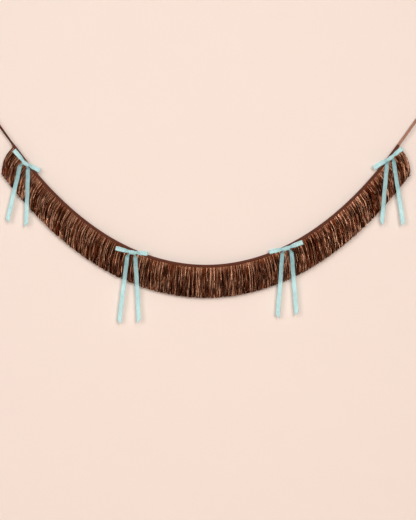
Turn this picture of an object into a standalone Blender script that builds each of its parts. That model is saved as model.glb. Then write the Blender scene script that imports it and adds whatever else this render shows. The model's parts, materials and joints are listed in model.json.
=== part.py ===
"""Fringe bow banner: a swag of foil fringe hung from a folded satin tape, with four ribbon bows.

Metres, +Z up, seen from -Y. Everything is laid out about the lowest point of the tape's top edge,
and one empty then carries it so that the left hanging loop's hook bears at the origin.
"""

import math
import random
from typing import Callable, NamedTuple

import bmesh
import bpy
from mathutils import Euler, Vector

# Swag: the tape's top edge hangs in a catenary
SWAG_LENGTH = 1.8288
SWAG_SAG = 0.469
CLEARANCE = 0.0003
RIBBON_THICKNESS = 0.0005

# Header tape: satin ribbon folded over the uncut head of the foil
TAPE_DEPTH = 0.0125
TAPE_THICKNESS = 0.0026
TAPE_ARC_STEPS = 56
TAPE_FOLD_STEPS = 4
HEAD_ARC_STEPS = 44

# Fringe: combs of foil strands in two layers, each on a slice of the head
FRINGE_DROP = 0.130
FRINGE_LEAN_SHARE = 0.39
FRINGE_FLARE = 0.0026
SECTION_COUNT = 20
SECTION_GAP = 0.0020
SLICE_DEPTH = 0.005
STRAND_COLUMNS = 18
LAYER_GAP_SHARE = 0.24
STRAND_MIDDLE_SHARE = 0.5
STRAND_WIDTH_SHARES = (0.92, 0.62)
STRAND_THICKNESS_SHARES = (0.85, 0.6)
STRAND_SWAY = 0.0006
STRAND_RAGGEDNESS = 0.004
BEAD_SHARES = ((0.0, 1.0), (0.71, 0.71), (1.0, 0.25))

# Ties: the ribbon that runs on from each end of the tape to the hanging knots
TIE_WIDTH = 0.010
TIE_LENGTH = 0.160
TIE_TUCK = 0.012
TIE_STEPS = 6
HANGING_KNOT_SIZE = (0.0092, 0.0074, 0.0070)
HANGING_LOOP_LENGTH = 0.052
HANGING_LOOP_SPREAD = 0.0165
HANGING_LOOP_STEPS = 24
LOOP_ROOT_GAP = 0.0012

# Bows: each a knot, two flat loops and two tails of one pale ribbon
BOW_RIBBON_WIDTH = 0.0165
BOW_KNOT_SIZE = (0.034, 0.0064, 0.0155)
BOW_KNOT_WAIST_SHARE = 0.16
BOW_LOOP_LENGTH = 0.050
BOW_LOOP_SPREAD = 0.0034
BOW_LOOP_STEPS = 20
BOW_LOOP_ROOT_SHARE = 0.78
TAIL_LENGTH = 0.250
TAIL_START_SHARES = (0.27, 0.16)
TAIL_ROOT_SHARE = 0.62
TAIL_ROOT_LENGTH = 0.016
TAIL_CUT = 0.015
TAIL_WAVE = 0.0010
TAIL_WAVE_COUNT = 2
TAIL_CUP = 0.0006
TAIL_STEPS = 12
TAIL_STEP_POWER = 1.6

# Round forms
KNOT_SEGMENTS = 12
KNOT_RINGS = 8
HANGING_KNOT_ROUNDNESS = 2.6
BOW_KNOT_ROUNDNESS = 4.0
COPLANAR_ANGLE = 0.002
SMOOTH_ANGLE = math.radians(50)
SEED = 6


class Bow(NamedTuple):
    """One bow as it was tied: angles in degrees, rising to the right, and shares of the named sizes."""

    place_share: float
    drop_share: float
    knot_tilt: float
    loop_tilts: tuple[float, float]
    loop_shares: tuple[float, float]
    tail_place_shares: tuple[float, float]
    tail_leans: tuple[float, float]
    tail_shares: tuple[float, float]


BOWS = (
    Bow(-0.907, 0.88, -37.0, (-49.7, -26.4), (1.01, 0.94), (-0.51, 0.34), (-12.9, -2.0), (0.93, 0.93)),
    Bow(-0.317, 1.12, -10.0, (-14.6, -4.1), (0.98, 0.86), (-0.49, 0.35), (-7.1, 3.2), (1.09, 1.06)),
    Bow(0.349, 0.92, 16.0, (10.4, 21.9), (1.00, 1.02), (-0.42, 0.55), (-4.3, 4.8), (1.04, 1.02)),
    Bow(0.934, 0.84, 34.0, (29.4, 40.0), (1.15, 0.87), (-0.35, 0.31), (-4.9, 8.7), (0.99, 1.05)),
)

# Derived: the catenary, and where the hanging knots lie past the tape's ends
HALF_LENGTH = SWAG_LENGTH / 2
CURVE = (HALF_LENGTH**2 - SWAG_SAG**2) / (2 * SWAG_SAG)
SECTION_LENGTH = SWAG_LENGTH / SECTION_COUNT
TIE_DROP = RIBBON_THICKNESS + CLEARANCE + TIE_WIDTH / 2
END_SLOPE = math.atan2(HALF_LENGTH, CURVE)
KNOT_REACH = HANGING_KNOT_SIZE[0] / 2 + CLEARANCE


def swag_point(arc: float, depth: float = 0.0, y: float = 0.0) -> Vector:
    """The point at this distance along the tape's top edge from its middle, and this far below it."""
    slope = math.atan2(arc, CURVE)
    x = CURVE * math.asinh(arc / CURVE) + depth * math.sin(slope)
    z = math.hypot(CURVE, arc) - CURVE - depth * math.cos(slope)
    return Vector((x, y, z))


def heading(angle: float) -> Vector:
    """The direction in the wall plane at this angle above +X."""
    return Vector((math.cos(angle), 0.0, math.sin(angle)))


def hanging_knot_centre(side: int) -> Vector:
    """The centre of the knot at the end of the left (-1) or right (1) tie."""
    end = swag_point(side * HALF_LENGTH, TIE_DROP)
    return end + (TIE_LENGTH + KNOT_REACH) * outward(side)


def outward(side: int) -> Vector:
    """The direction in which the tape's end, its tie and its hanging loop all run."""
    return Vector((side * math.cos(END_SLOPE), 0.0, math.sin(END_SLOPE)))


def loop_bearing(side: int) -> Vector:
    """Where a hook bears on the inside of the hanging loop's far end."""
    reach = KNOT_REACH + HANGING_LOOP_LENGTH - RIBBON_THICKNESS / 2
    return hanging_knot_centre(side) + reach * outward(side)


def smooth(share: float) -> float:
    """A share from 0 to 1 eased at both ends."""
    held = min(max(share, 0.0), 1.0)
    return held * held * (3 - 2 * held)


def clear_scene() -> None:
    """Take out whatever the scene holds."""
    for obj in list(bpy.data.objects):
        bpy.data.objects.remove(obj)


def material(name: str, colour: tuple[float, float, float], roughness: float, metallic: float):
    """A Principled material of this colour."""
    made = bpy.data.materials.new(name)
    made.use_nodes = True
    shader = made.node_tree.nodes["Principled BSDF"]
    shader.inputs["Base Color"].default_value = (*colour, 1.0)
    shader.inputs["Roughness"].default_value = roughness
    shader.inputs["Metallic"].default_value = metallic
    return made


def empty(name: str, place: Vector, parent=None):
    """An empty on a joint's axis, given by its place in the swag's own layout."""
    made = bpy.data.objects.new(name, None)
    bpy.context.scene.collection.objects.link(made)
    made.parent = parent
    made.location = place
    return made


class Bench:
    """What every piece needs to be placed: the collection, the empties and the finishes."""

    def __init__(self) -> None:
        self.pieces = bpy.data.collections.new("fringe_bow_banner")
        bpy.context.scene.collection.children.link(self.pieces)
        self.frame = empty("banner_frame", -loop_bearing(-1))
        self.swing_place = Vector((0.0, 0.0, hanging_knot_centre(1).z))
        self.swing = empty("swag_swing", self.swing_place, self.frame)
        self.brown = material("brown_satin", (0.075, 0.028, 0.018), 0.42, 0.0)
        self.foil = material("chocolate_foil", (0.130, 0.050, 0.030), 0.28, 0.75)
        self.blue = material("pale_blue_satin", (0.450, 0.680, 0.670), 0.38, 0.0)

    def add(self, name: str, mesh, finish, place: Vector, tilt: Euler, swings: bool = True):
        """Link one piece, with its origin at this place in the swag's layout."""
        piece = bpy.data.objects.new(name, mesh)
        self.pieces.objects.link(piece)
        piece.parent = self.swing if swings else self.frame
        piece.location = place - self.swing_place if swings else place
        piece.rotation_euler = tilt
        mesh.materials.append(finish)
        return piece


def in_plane(angle: float) -> Euler:
    """The turn that lays local X at this angle above +X in the wall plane."""
    return Euler((0.0, -angle, 0.0))


def mesh_from(bm, name: str):
    """A mesh of this bmesh, faces turned outwards, smooth except over its cut edges and corners."""
    bmesh.ops.recalc_face_normals(bm, faces=bm.faces)
    for edge in bm.edges:
        edge.smooth = not edge.is_boundary and edge.calc_face_angle(0.0) < SMOOTH_ANGLE
    for face in bm.faces:
        face.smooth = True
    mesh = bpy.data.meshes.new(name)
    bm.to_mesh(mesh)
    bm.free()
    return mesh


def ribbon_mesh(name: str, steps: int, columns: int, lay: Callable[[float, float], Vector]):
    """A flat strip laid by lay(along, across): along runs from 0 to 1, across from -0.5 to 0.5."""
    bm = bmesh.new()
    bmesh.ops.create_grid(bm, x_segments=steps, y_segments=columns, size=0.5)
    for vert in bm.verts:
        vert.co = lay(vert.co.x + 0.5, vert.co.y)
    return mesh_from(bm, name)


def thicken(piece, thickness: float) -> None:
    """Give a strip its ribbon's thickness, half to each side."""
    modifier = piece.modifiers.new("ribbon_thickness", "SOLIDIFY")
    modifier.thickness = thickness
    modifier.offset = 0.0
    modifier.use_even_offset = True
    modifier.use_quality_normals = True


def header_tape(bench: Bench) -> None:
    """The ribbon folded lengthwise: up the back, over the fold and down the front."""
    wall = (TAPE_THICKNESS - RIBBON_THICKNESS) / 2
    fold_depth = RIBBON_THICKNESS / 2 + wall
    steps = TAPE_FOLD_STEPS + 2

    def lay(along: float, across: float) -> Vector:
        step = round((across + 0.5) * steps)
        arc = (2 * along - 1) * HALF_LENGTH
        if step == 0:
            return swag_point(arc, TAPE_DEPTH, wall)
        if step == steps:
            return swag_point(arc, TAPE_DEPTH, -wall)
        turn = math.pi * (step - 1) / TAPE_FOLD_STEPS
        return swag_point(arc, fold_depth - wall * math.sin(turn), wall * math.cos(turn))

    mesh = ribbon_mesh("header_tape", TAPE_ARC_STEPS, steps, lay)
    piece = bench.add("header_tape", mesh, bench.brown, Vector(), Euler())
    thicken(piece, RIBBON_THICKNESS)


def fringe_head(bench: Bench) -> None:
    """The uncut strip of foil that the tape holds, short of the tucked ends of the ties."""
    thickness = TAPE_THICKNESS - 2 * (RIBBON_THICKNESS + CLEARANCE)
    top = TAPE_THICKNESS / 2 + CLEARANCE
    reach = HALF_LENGTH - TIE_TUCK - CLEARANCE

    def lay(along: float, across: float) -> Vector:
        depth = top + (0.5 - across) * (TAPE_DEPTH - top)
        return swag_point((2 * along - 1) * reach, depth)

    mesh = ribbon_mesh("fringe_head", HEAD_ARC_STEPS, 1, lay)
    piece = bench.add("fringe_head", mesh, bench.foil, Vector(), Euler())
    thicken(piece, thickness)


class Section:
    """One comb of the fringe: where its hinge line lies, and its strands."""

    def __init__(self, number: int) -> None:
        self.name = f"fringe_section_{number + 1:02d}"
        self.start = number * SECTION_LENGTH - HALF_LENGTH
        self.half = TAPE_THICKNESS / 2
        ends = self.line(0.0), self.line(SECTION_LENGTH)
        bulge = (swag_point(self.start + SECTION_LENGTH / 2) - (ends[0] + ends[1]) / 2).length
        self.depth = TAPE_DEPTH + bulge + CLEARANCE + self.half
        left = swag_point(self.start, self.depth)
        right = swag_point(self.start + SECTION_LENGTH, self.depth)
        self.hinge = (left + right) / 2
        self.width = (right - left).length - SECTION_GAP
        self.slope = math.atan2(right.z - left.z, right.x - left.x)
        self.chance = random.Random(SEED + number)

    def line(self, arc: float) -> Vector:
        """A point of the tape's top edge above the comb."""
        return swag_point(self.start + arc)

    def slice_of_head(self):
        """The backing: a grid as its underside, drawn up to a bead that turns on the hinge line."""
        bm = bmesh.new()
        bmesh.ops.create_grid(bm, x_segments=STRAND_COLUMNS, y_segments=3, size=0.5)
        for vert in bm.verts:
            inner = abs(vert.co.y) < 0.4
            across = math.copysign(self.half * (LAYER_GAP_SHARE if inner else 1.0), vert.co.y)
            vert.co = Vector((vert.co.x * self.width, across, -SLICE_DEPTH))
        under = list(bm.faces)
        faces = under
        for rise_share, narrow_share in BEAD_SHARES:
            drawn = bmesh.ops.extrude_face_region(bm, geom=faces)["geom"]
            if faces is not under:
                bmesh.ops.delete(bm, geom=faces, context="FACES")
            faces = [item for item in drawn if isinstance(item, bmesh.types.BMFace)]
            for vert in (item for item in drawn if isinstance(item, bmesh.types.BMVert)):
                inner_share = LAYER_GAP_SHARE if abs(vert.co.y) < self.half * narrow_share * 0.5 else 1.0
                across = self.half * narrow_share * inner_share
                vert.co = Vector((vert.co.x, math.copysign(across, vert.co.y), self.half * rise_share))
        upper = [vert for vert in bm.verts if vert.co.z > -SLICE_DEPTH / 2]
        seams = [edge for edge in bm.edges if set(edge.verts) & set(upper)]
        bmesh.ops.dissolve_limit(bm, angle_limit=COPLANAR_ANGLE, verts=upper, edges=seams)
        return bm, under

    def strand_direction(self, x: float) -> Vector:
        """Each strand hangs between the vertical and square to the tape, by the lean share."""
        arc = self.start + (x / self.width + 0.5) * SECTION_LENGTH
        angle = self.slope - FRINGE_LEAN_SHARE * math.atan2(arc, CURVE)
        return Vector((-math.sin(angle), 0.0, -math.cos(angle)))

    def draw_strand(self, bm, face) -> None:
        """Draw one cell of the underside down to a tapered strand with a slight bend."""
        root = face.calc_center_median()
        direction = self.strand_direction(root.x)
        used = (self.depth + SLICE_DEPTH) / -direction.z
        length = FRINGE_DROP - used - self.chance.uniform(0.0, STRAND_RAGGEDNESS)
        layer = math.copysign(1.0, root.y)
        sway = Vector((self.chance.uniform(-STRAND_SWAY, STRAND_SWAY), 0.0, 0.0))
        stops = (STRAND_MIDDLE_SHARE, 1.0)
        for stop, width_share, depth_share in zip(stops, STRAND_WIDTH_SHARES, STRAND_THICKNESS_SHARES):
            old = face.calc_center_median()
            flare = Vector((0.0, layer * FRINGE_FLARE * stop, 0.0))
            new = root + direction * length * stop + flare + sway * (1 if stop < 1 else -1)
            face = bmesh.ops.extrude_discrete_faces(bm, faces=[face])["faces"][0]
            for vert in face.verts:
                off = vert.co - old
                vert.co = new + Vector((off.x * width_share, off.y * depth_share, 0.0))

    def carries_strand(self, face) -> bool:
        """Front strands hang from the even columns, and back strands from the odd ones."""
        centre = face.calc_center_median()
        column = math.floor((centre.x / self.width + 0.5) * STRAND_COLUMNS)
        inner = abs(centre.y) < self.half * LAYER_GAP_SHARE
        return not inner and column % 2 == (0 if centre.y < 0 else 1)

    def lean_slice(self, bm) -> None:
        """Slant the slice as its strands lean, so that its ends run on into theirs."""
        for vert in bm.verts:
            direction = self.strand_direction(vert.co.x)
            vert.co.x += vert.co.z * direction.x / direction.z

    def build(self, bench: Bench) -> None:
        """The comb: its slice of the head, with every strand drawn down from it."""
        bm, under = self.slice_of_head()
        roots = [face for face in under if self.carries_strand(face)]
        self.lean_slice(bm)
        for face in roots:
            self.draw_strand(bm, face)
        bench.add(self.name, mesh_from(bm, self.name), bench.foil, self.hinge, in_plane(self.slope))


def loop_point(along: float, length: float, spread: float) -> tuple[float, float]:
    """A teardrop from its root and back: how far out, and how far to the side."""
    turn = 2 * math.pi * along
    out = length * (1 - math.cos(turn)) / 2
    root = LOOP_ROOT_GAP / 2 * math.cos(turn / 2)
    return out, spread * math.sin(turn) * math.sin(turn / 2) + root


def knot_mesh(name: str, size: tuple[float, float, float], roundness: float, waist_share: float):
    """A gathered knot: a ball squared off the more the higher its roundness, drawn in at its waist."""
    bm = bmesh.new()
    bmesh.ops.create_uvsphere(bm, u_segments=KNOT_SEGMENTS, v_segments=KNOT_RINGS, radius=1.0)
    for vert in bm.verts:
        ball = vert.co.normalized()
        squared = ball / sum(abs(part) ** roundness for part in ball) ** (1 / roundness)
        waist = 1 - waist_share * math.cos(squared.x * math.pi / 2) ** 2
        halves = (size[0] / 2, size[1] / 2, size[2] / 2 * waist)
        vert.co = Vector(part * half for part, half in zip(squared, halves))
    return mesh_from(bm, name)


def hanging_end(bench: Bench, side: int) -> None:
    """One end's tie, its knot and the loop that goes over a hook."""
    hand = "left" if side < 0 else "right"
    direction = outward(side)
    angle = math.atan2(direction.z, direction.x)
    centre = hanging_knot_centre(side)
    tie_end = swag_point(side * HALF_LENGTH, TIE_DROP)

    def lay_tie(along: float, across: float) -> Vector:
        return Vector((-TIE_TUCK + along * (TIE_LENGTH + TIE_TUCK), 0.0, across * TIE_WIDTH))

    tie = bench.add(
        f"{hand}_tie",
        ribbon_mesh(f"{hand}_tie", TIE_STEPS, 1, lay_tie),
        bench.brown,
        tie_end,
        in_plane(angle),
    )
    thicken(tie, RIBBON_THICKNESS)
    knot = knot_mesh(f"{hand}_hanging_knot", HANGING_KNOT_SIZE, HANGING_KNOT_ROUNDNESS, 0.0)
    bench.add(f"{hand}_hanging_knot", knot, bench.brown, centre, in_plane(angle), swings=False)

    def lay_loop(along: float, across: float) -> Vector:
        out, aside = loop_point(along, HANGING_LOOP_LENGTH, HANGING_LOOP_SPREAD)
        return Vector((out, across * TIE_WIDTH, aside))

    loop = bench.add(
        f"{hand}_hanging_loop",
        ribbon_mesh(f"{hand}_hanging_loop", HANGING_LOOP_STEPS, 1, lay_loop),
        bench.brown,
        centre + KNOT_REACH * direction,
        in_plane(angle),
        swings=False,
    )
    thicken(loop, RIBBON_THICKNESS)


def bow(bench: Bench, number: int, tied: Bow) -> None:
    """One bow, stitched through its knot to the face of the tape."""
    name = f"bow_{number + 1}"
    width, depth, height = BOW_KNOT_SIZE
    back = -TAPE_THICKNESS / 2 - CLEARANCE
    front = back - depth - CLEARANCE - RIBBON_THICKNESS / 2
    centre = swag_point(tied.place_share * HALF_LENGTH, tied.drop_share * TAPE_DEPTH, back - depth / 2)
    tilt = math.radians(tied.knot_tilt)
    knot = knot_mesh(f"{name}_knot", BOW_KNOT_SIZE, BOW_KNOT_ROUNDNESS, BOW_KNOT_WAIST_SHARE)
    bench.add(f"{name}_knot", knot, bench.blue, centre, in_plane(tilt))
    along_share, down_share = TAIL_START_SHARES
    for hand, side in enumerate((-1, 1)):
        word = ("left", "right")[hand]
        bow_loop(bench, f"{name}_{word}_loop", tied, hand, centre)
        corner = centre + side * along_share * width * heading(tilt)
        corner -= down_share * height * heading(tilt + math.pi / 2)
        top = Vector((centre.x + tied.tail_place_shares[hand] * width, front, corner.z))
        bow_tail(bench, f"{name}_{word}_tail", tied, hand, top, corner.x - top.x)


def bow_loop(bench: Bench, name: str, tied: Bow, hand: int, centre: Vector) -> None:
    """A flat loop that leaves the knot pinched and comes back behind itself."""
    length = BOW_LOOP_LENGTH * tied.loop_shares[hand]
    angle = math.radians(tied.loop_tilts[hand]) + (math.pi if hand == 0 else 0.0)

    def lay(along: float, across: float) -> Vector:
        out, aside = loop_point(along, length, BOW_LOOP_SPREAD)
        opened = BOW_LOOP_ROOT_SHARE + (1 - BOW_LOOP_ROOT_SHARE) * smooth(2 * out / length)
        return Vector((out, aside, across * BOW_RIBBON_WIDTH * opened))

    root = centre + (BOW_KNOT_SIZE[0] / 2 + CLEARANCE + RIBBON_THICKNESS) * heading(angle)
    piece = bench.add(name, ribbon_mesh(name, BOW_LOOP_STEPS, 1, lay), bench.blue, root, in_plane(angle))
    thicken(piece, RIBBON_THICKNESS)


def bow_tail(bench: Bench, name: str, tied: Bow, hand: int, top: Vector, aside: float) -> None:
    """A tail drawn in to the knot's corner at its top, and cut slantwise with its point inwards."""
    length = TAIL_LENGTH * tied.tail_shares[hand]
    inward = 1 if hand == 0 else -1

    def lay(step: float, across: float) -> Vector:
        along = step**TAIL_STEP_POWER
        opened = smooth(along * length / TAIL_ROOT_LENGTH)
        width = BOW_RIBBON_WIDTH * (TAIL_ROOT_SHARE + (1 - TAIL_ROOT_SHARE) * opened)
        drop = along * (length + TAIL_CUT * inward * across)
        wave = TAIL_WAVE * math.sin(2 * math.pi * TAIL_WAVE_COUNT * along)
        cup = TAIL_CUP * (4 * across**2 - 2 / 3) * opened
        return Vector((across * width + aside * (1 - opened), wave + cup, -drop))

    mesh = ribbon_mesh(name, TAIL_STEPS, 2, lay)
    piece = bench.add(name, mesh, bench.blue, top, in_plane(math.radians(tied.tail_leans[hand])))
    thicken(piece, RIBBON_THICKNESS)


def main() -> None:
    """Build the banner, from the tape out to its bows."""
    clear_scene()
    bench = Bench()
    header_tape(bench)
    fringe_head(bench)
    for number in range(SECTION_COUNT):
        Section(number).build(bench)
    for side in (-1, 1):
        hanging_end(bench, side)
    for number, tied in enumerate(BOWS):
        bow(bench, number, tied)


main()
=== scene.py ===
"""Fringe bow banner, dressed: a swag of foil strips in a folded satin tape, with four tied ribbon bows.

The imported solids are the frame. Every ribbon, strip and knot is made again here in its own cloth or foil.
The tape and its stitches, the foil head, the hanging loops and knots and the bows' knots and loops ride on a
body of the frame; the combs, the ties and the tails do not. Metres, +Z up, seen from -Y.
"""

import json
import logging
import math
from dataclasses import dataclass, field
from enum import Enum

import bmesh
import bpy
import numpy as np
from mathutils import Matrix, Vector

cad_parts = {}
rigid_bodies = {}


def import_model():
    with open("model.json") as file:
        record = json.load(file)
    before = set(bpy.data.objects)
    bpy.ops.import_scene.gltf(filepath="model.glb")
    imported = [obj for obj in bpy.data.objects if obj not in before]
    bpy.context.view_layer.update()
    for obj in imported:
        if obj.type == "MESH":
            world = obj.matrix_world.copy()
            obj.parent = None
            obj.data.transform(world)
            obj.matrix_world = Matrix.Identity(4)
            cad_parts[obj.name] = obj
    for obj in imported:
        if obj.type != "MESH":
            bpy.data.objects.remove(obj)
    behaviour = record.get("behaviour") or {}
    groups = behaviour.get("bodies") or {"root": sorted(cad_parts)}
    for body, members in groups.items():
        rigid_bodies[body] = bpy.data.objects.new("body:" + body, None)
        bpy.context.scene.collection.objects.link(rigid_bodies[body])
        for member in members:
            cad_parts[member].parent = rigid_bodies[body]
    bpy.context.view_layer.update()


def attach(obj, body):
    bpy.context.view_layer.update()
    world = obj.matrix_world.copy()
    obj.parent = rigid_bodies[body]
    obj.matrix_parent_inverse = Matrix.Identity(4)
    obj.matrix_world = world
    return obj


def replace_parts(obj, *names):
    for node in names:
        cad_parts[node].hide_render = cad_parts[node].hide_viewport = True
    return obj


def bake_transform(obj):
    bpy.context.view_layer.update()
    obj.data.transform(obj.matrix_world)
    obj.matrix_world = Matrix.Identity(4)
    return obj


STARTUP = list(bpy.data.objects)
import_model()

LOG = logging.getLogger("fringe_bow_banner")
SEED = 11
PLACE = "ribbon_place"
# each strip's share of the foil's pale colour: painted glints
GLINT_SHARE = "strip_shade"
COPPER = (1.0, 0.5, 0.34, 1.0)
WHITE = (1.0, 1.0, 1.0, 1.0)
BACKWARD = np.array([0.0, 1.0, 0.0])
BEND = 0.022  # a depth below a comb's hinge

Array = np.ndarray
Chance = np.random.Generator
Colour = tuple[float, float, float, float]
Material, Node, Piece = bpy.types.Material, bpy.types.Node, bpy.types.Object


class Slot(Enum):
    """The record's material slots."""

    BROWN = "brown_satin"
    FOIL = "chocolate_foil"
    BLUE = "pale_blue_satin"


class Hand(Enum):
    """The left or right side, seen from the front."""

    LEFT = -1
    RIGHT = 1

    @property
    def word(self) -> str:
        """The name that the frame's nodes use for this side."""
        return self.name.lower()

    @property
    def index(self) -> int:
        """This side's place in a pair of numbers."""
        return int(self is Hand.RIGHT)


def smooth(share: Array) -> Array:
    """Ease a share from 0 to 1 at both ends."""
    held = np.clip(share, 0.0, 1.0)
    return held * held * (3 - 2 * held)


def heading(angle: float) -> Array:
    """The direction in the wall plane at this angle above +X."""
    return np.array([math.cos(angle), 0.0, math.sin(angle)])


# ---- The layout that the solids share ----


@dataclass(frozen=True)
class SwagLine:
    """The catenary of the tape's top edge, and the hanging ends beyond it, in the frame's own place."""

    length: float = 1.8288
    sag: float = 0.469
    tape_depth: float = 0.0125
    tape_thickness: float = 0.0026
    ribbon_thickness: float = 0.0005
    clearance: float = 0.0003
    tie_width: float = 0.010
    tie_length: float = 0.160
    knot_length: float = 0.0092
    loop_length: float = 0.052

    @property
    def half(self) -> float:
        """Half the tape's length."""
        return self.length / 2

    @property
    def curve(self) -> float:
        """The catenary's own radius at its lowest point."""
        return (self.half**2 - self.sag**2) / (2 * self.sag)

    @property
    def end_slope(self) -> float:
        """The slope of the tape's ends, in radians."""
        return math.atan2(self.half, self.curve)

    @property
    def knot_reach(self) -> float:
        """From a hanging knot's centre to where its loop starts."""
        return self.knot_length / 2 + self.clearance

    def outward(self, side: Hand) -> Array:
        """The direction in which the tape's end, its tie and its hanging loop run."""
        return np.array([side.value * math.cos(self.end_slope), 0.0, math.sin(self.end_slope)])

    def slope(self, arc: Array) -> Array:
        """The top edge's slope at this distance from the middle, in radians."""
        return np.arctan2(arc, self.curve)

    def laid(self, arc: Array, depth: Array) -> tuple[Array, Array]:
        """Where points below the top edge lie, about the swag's own lowest point.

        Args:
            arc: distance along the top edge from its middle.
            depth: distance below it, square to it.

        Returns:
            Their X and their Z.
        """
        slope = self.slope(arc)
        x = self.curve * np.arcsinh(arc / self.curve) + depth * np.sin(slope)
        return x, np.hypot(self.curve, arc) - self.curve - depth * np.cos(slope)

    def knot_laid(self, side: Hand) -> Array:
        """The centre of a hanging knot, about the swag's own lowest point.

        Args:
            side: which end of the swag.

        Returns:
            The point.
        """
        drop = self.ribbon_thickness + self.clearance + self.tie_width / 2
        x, z = self.laid(np.array(side.value * self.half), np.array(drop))
        return np.array([float(x), 0.0, float(z)]) + (self.tie_length + self.knot_reach) * self.outward(side)

    @property
    def foot(self) -> Array:
        """Where the swag's lowest point lies, so that the left loop's hook bears at the origin."""
        reach = self.knot_reach + self.loop_length - self.ribbon_thickness / 2
        return -(self.knot_laid(Hand.LEFT) + reach * self.outward(Hand.LEFT))

    def knot_centre(self, side: Hand) -> Array:
        """The centre of a hanging knot."""
        return self.foot + self.knot_laid(side)

    def point(self, arc: Array, depth: Array, y: Array) -> Array:
        """Points below the tape's top edge.

        Args:
            arc: distance along the top edge from its middle.
            depth: distance below it, square to it.
            y: distance behind the swag's middle plane.

        Returns:
            The points, one row each.
        """
        arc, depth, y = np.broadcast_arrays(np.asarray(arc, float), depth, y)
        x, z = self.laid(arc, depth)
        return np.stack([x, y, z], axis=-1) + self.foot


SWAG = SwagLine()


# ---- Shared shader effects ----


@dataclass(frozen=True)
class Wire:
    """A value in a node tree: arithmetic on it places the Math nodes that work it out."""

    sheet: "NodeSheet"
    socket: bpy.types.NodeSocket

    def __add__(self, other: object) -> "Wire":
        """The sum."""
        return self.sheet.math("ADD", self, other)

    def __sub__(self, other: object) -> "Wire":
        """The difference."""
        return self.sheet.math("SUBTRACT", self, other)

    def __rsub__(self, number: float) -> "Wire":
        """What this value leaves of a plain number."""
        return self.sheet.math("SUBTRACT", number, self)

    def __mul__(self, other: object) -> "Wire":
        """The product."""
        return self.sheet.math("MULTIPLY", self, other)

    def __truediv__(self, other: object) -> "Wire":
        """The quotient."""
        return self.sheet.math("DIVIDE", self, other)

    def __pow__(self, power: float) -> "Wire":
        """The power."""
        return self.sheet.math("POWER", self, power)

    def __abs__(self) -> "Wire":
        """The value without its sign."""
        return self.sheet.math("ABSOLUTE", self)

    def beat(self, operation: str, pitch: "Wire") -> "Wire":
        """A SINE or COSINE wave of this distance, by its pitch."""
        return self.sheet.math(operation, self * math.tau / pitch)

    def held(self) -> "Wire":
        """The value, kept between 0 and 1."""
        return self.sheet.math("MINIMUM", self.sheet.math("MAXIMUM", self, 0.0), 1.0)


@dataclass
class NodeSheet:
    """A node tree being filled: places nodes and feeds their inputs."""

    tree: bpy.types.NodeTree

    def add(self, kind: str, inputs: dict | None = None, **settings: object) -> Node:
        """Place a node.

        Args:
            kind: the node's type name.
            inputs: what each input is fed with, as for feed.
            settings: the node's own properties by name.

        Returns:
            The node.
        """
        node = self.tree.nodes.new(kind)
        for name, value in settings.items():
            setattr(node, name, value)
        self.feed(node, inputs or {})
        return node

    def feed(self, node: Node, inputs: dict) -> None:
        """Link or set a node's inputs.

        Args:
            node: the node.
            inputs: a wire, a socket or plain numbers for each input's name or number.
        """
        for name, value in inputs.items():
            value = value.socket if isinstance(value, Wire) else value
            if isinstance(value, bpy.types.NodeSocket):
                self.tree.links.new(value, node.inputs[name])
            else:
                node.inputs[name].default_value = value

    def math(self, operation: str, *values: object) -> Wire:
        """The result of a Math node fed with these values."""
        node = self.add("ShaderNodeMath", dict(enumerate(values)), operation=operation)
        return Wire(self, node.outputs[0])

    def mix(self, share: object, low: object, high: object) -> Wire:
        """The first colour, with this share of the second."""
        node = self.add("ShaderNodeMix", {0: share, 6: low, 7: high}, data_type="RGBA", clamp_factor=True)
        return Wire(self, node.outputs[2])

    def noise(self, vector: object, scale: object, detail: float) -> Wire:
        """A noise texture's value at these coordinates."""
        node = self.add("ShaderNodeTexNoise", {"Vector": vector, "Scale": scale, "Detail": detail})
        return Wire(self, node.outputs[0])

    def drawn(self, vector: object, shares: tuple[float, float, float]) -> Wire:
        """Coordinates multiplied part by part, which draws a texture out."""
        node = self.add("ShaderNodeVectorMath", {0: vector, 1: shares}, operation="MULTIPLY")
        return Wire(self, node.outputs[0])

    def attribute(self, name: str, output: str) -> Wire:
        """An attribute of the mesh."""
        return Wire(self, self.add("ShaderNodeAttribute", attribute_name=name).outputs[output])

    def coordinates(self) -> Wire:
        """The piece's own coordinates."""
        return Wire(self, self.add("ShaderNodeTexCoord").outputs["Object"])

    def choose(self, share: Wire, usual: Node, other: Node, output: Node) -> None:
        """Mix two shaders into the tree's output.

        Args:
            share: how much of the second one.
            usual: the first shader.
            other: the second shader.
            output: the output node.
        """
        mixed = self.add("ShaderNodeMixShader", {0: share, 1: usual.outputs[0], 2: other.outputs[0]})
        self.feed(output, {"Surface": mixed.outputs[0]})


class EffectGroup:
    """A shader node group with named inputs, which gives a colour, a roughness and a height."""

    name: str
    inputs: dict[str, object]
    outputs = {"Colour": "NodeSocketColor", "Roughness": "NodeSocketFloat", "Height": "NodeSocketFloat"}

    def __init__(self) -> None:
        """Make the group and its sockets, and join what is drawn to them."""
        self.tree = bpy.data.node_groups.new(self.name, "ShaderNodeTree")
        for name, value in self.inputs.items():
            kind = "NodeSocketColor" if isinstance(value, tuple) else "NodeSocketFloat"
            self.tree.interface.new_socket(name, in_out="INPUT", socket_type=kind).default_value = value
        for name, kind in self.outputs.items():
            self.tree.interface.new_socket(name, in_out="OUTPUT", socket_type=kind)
        sheet = NodeSheet(self.tree)
        entry = sheet.add("NodeGroupInput")
        taken = {name: Wire(sheet, entry.outputs[name]) for name in self.inputs}
        sheet.add("NodeGroupOutput", self.draw(sheet, taken))

    def draw(self, sheet: NodeSheet, taken: dict[str, Wire]) -> dict[str, Wire]:
        """Draw the effect, which each kind of group does in its own way."""
        raise NotImplementedError


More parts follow.
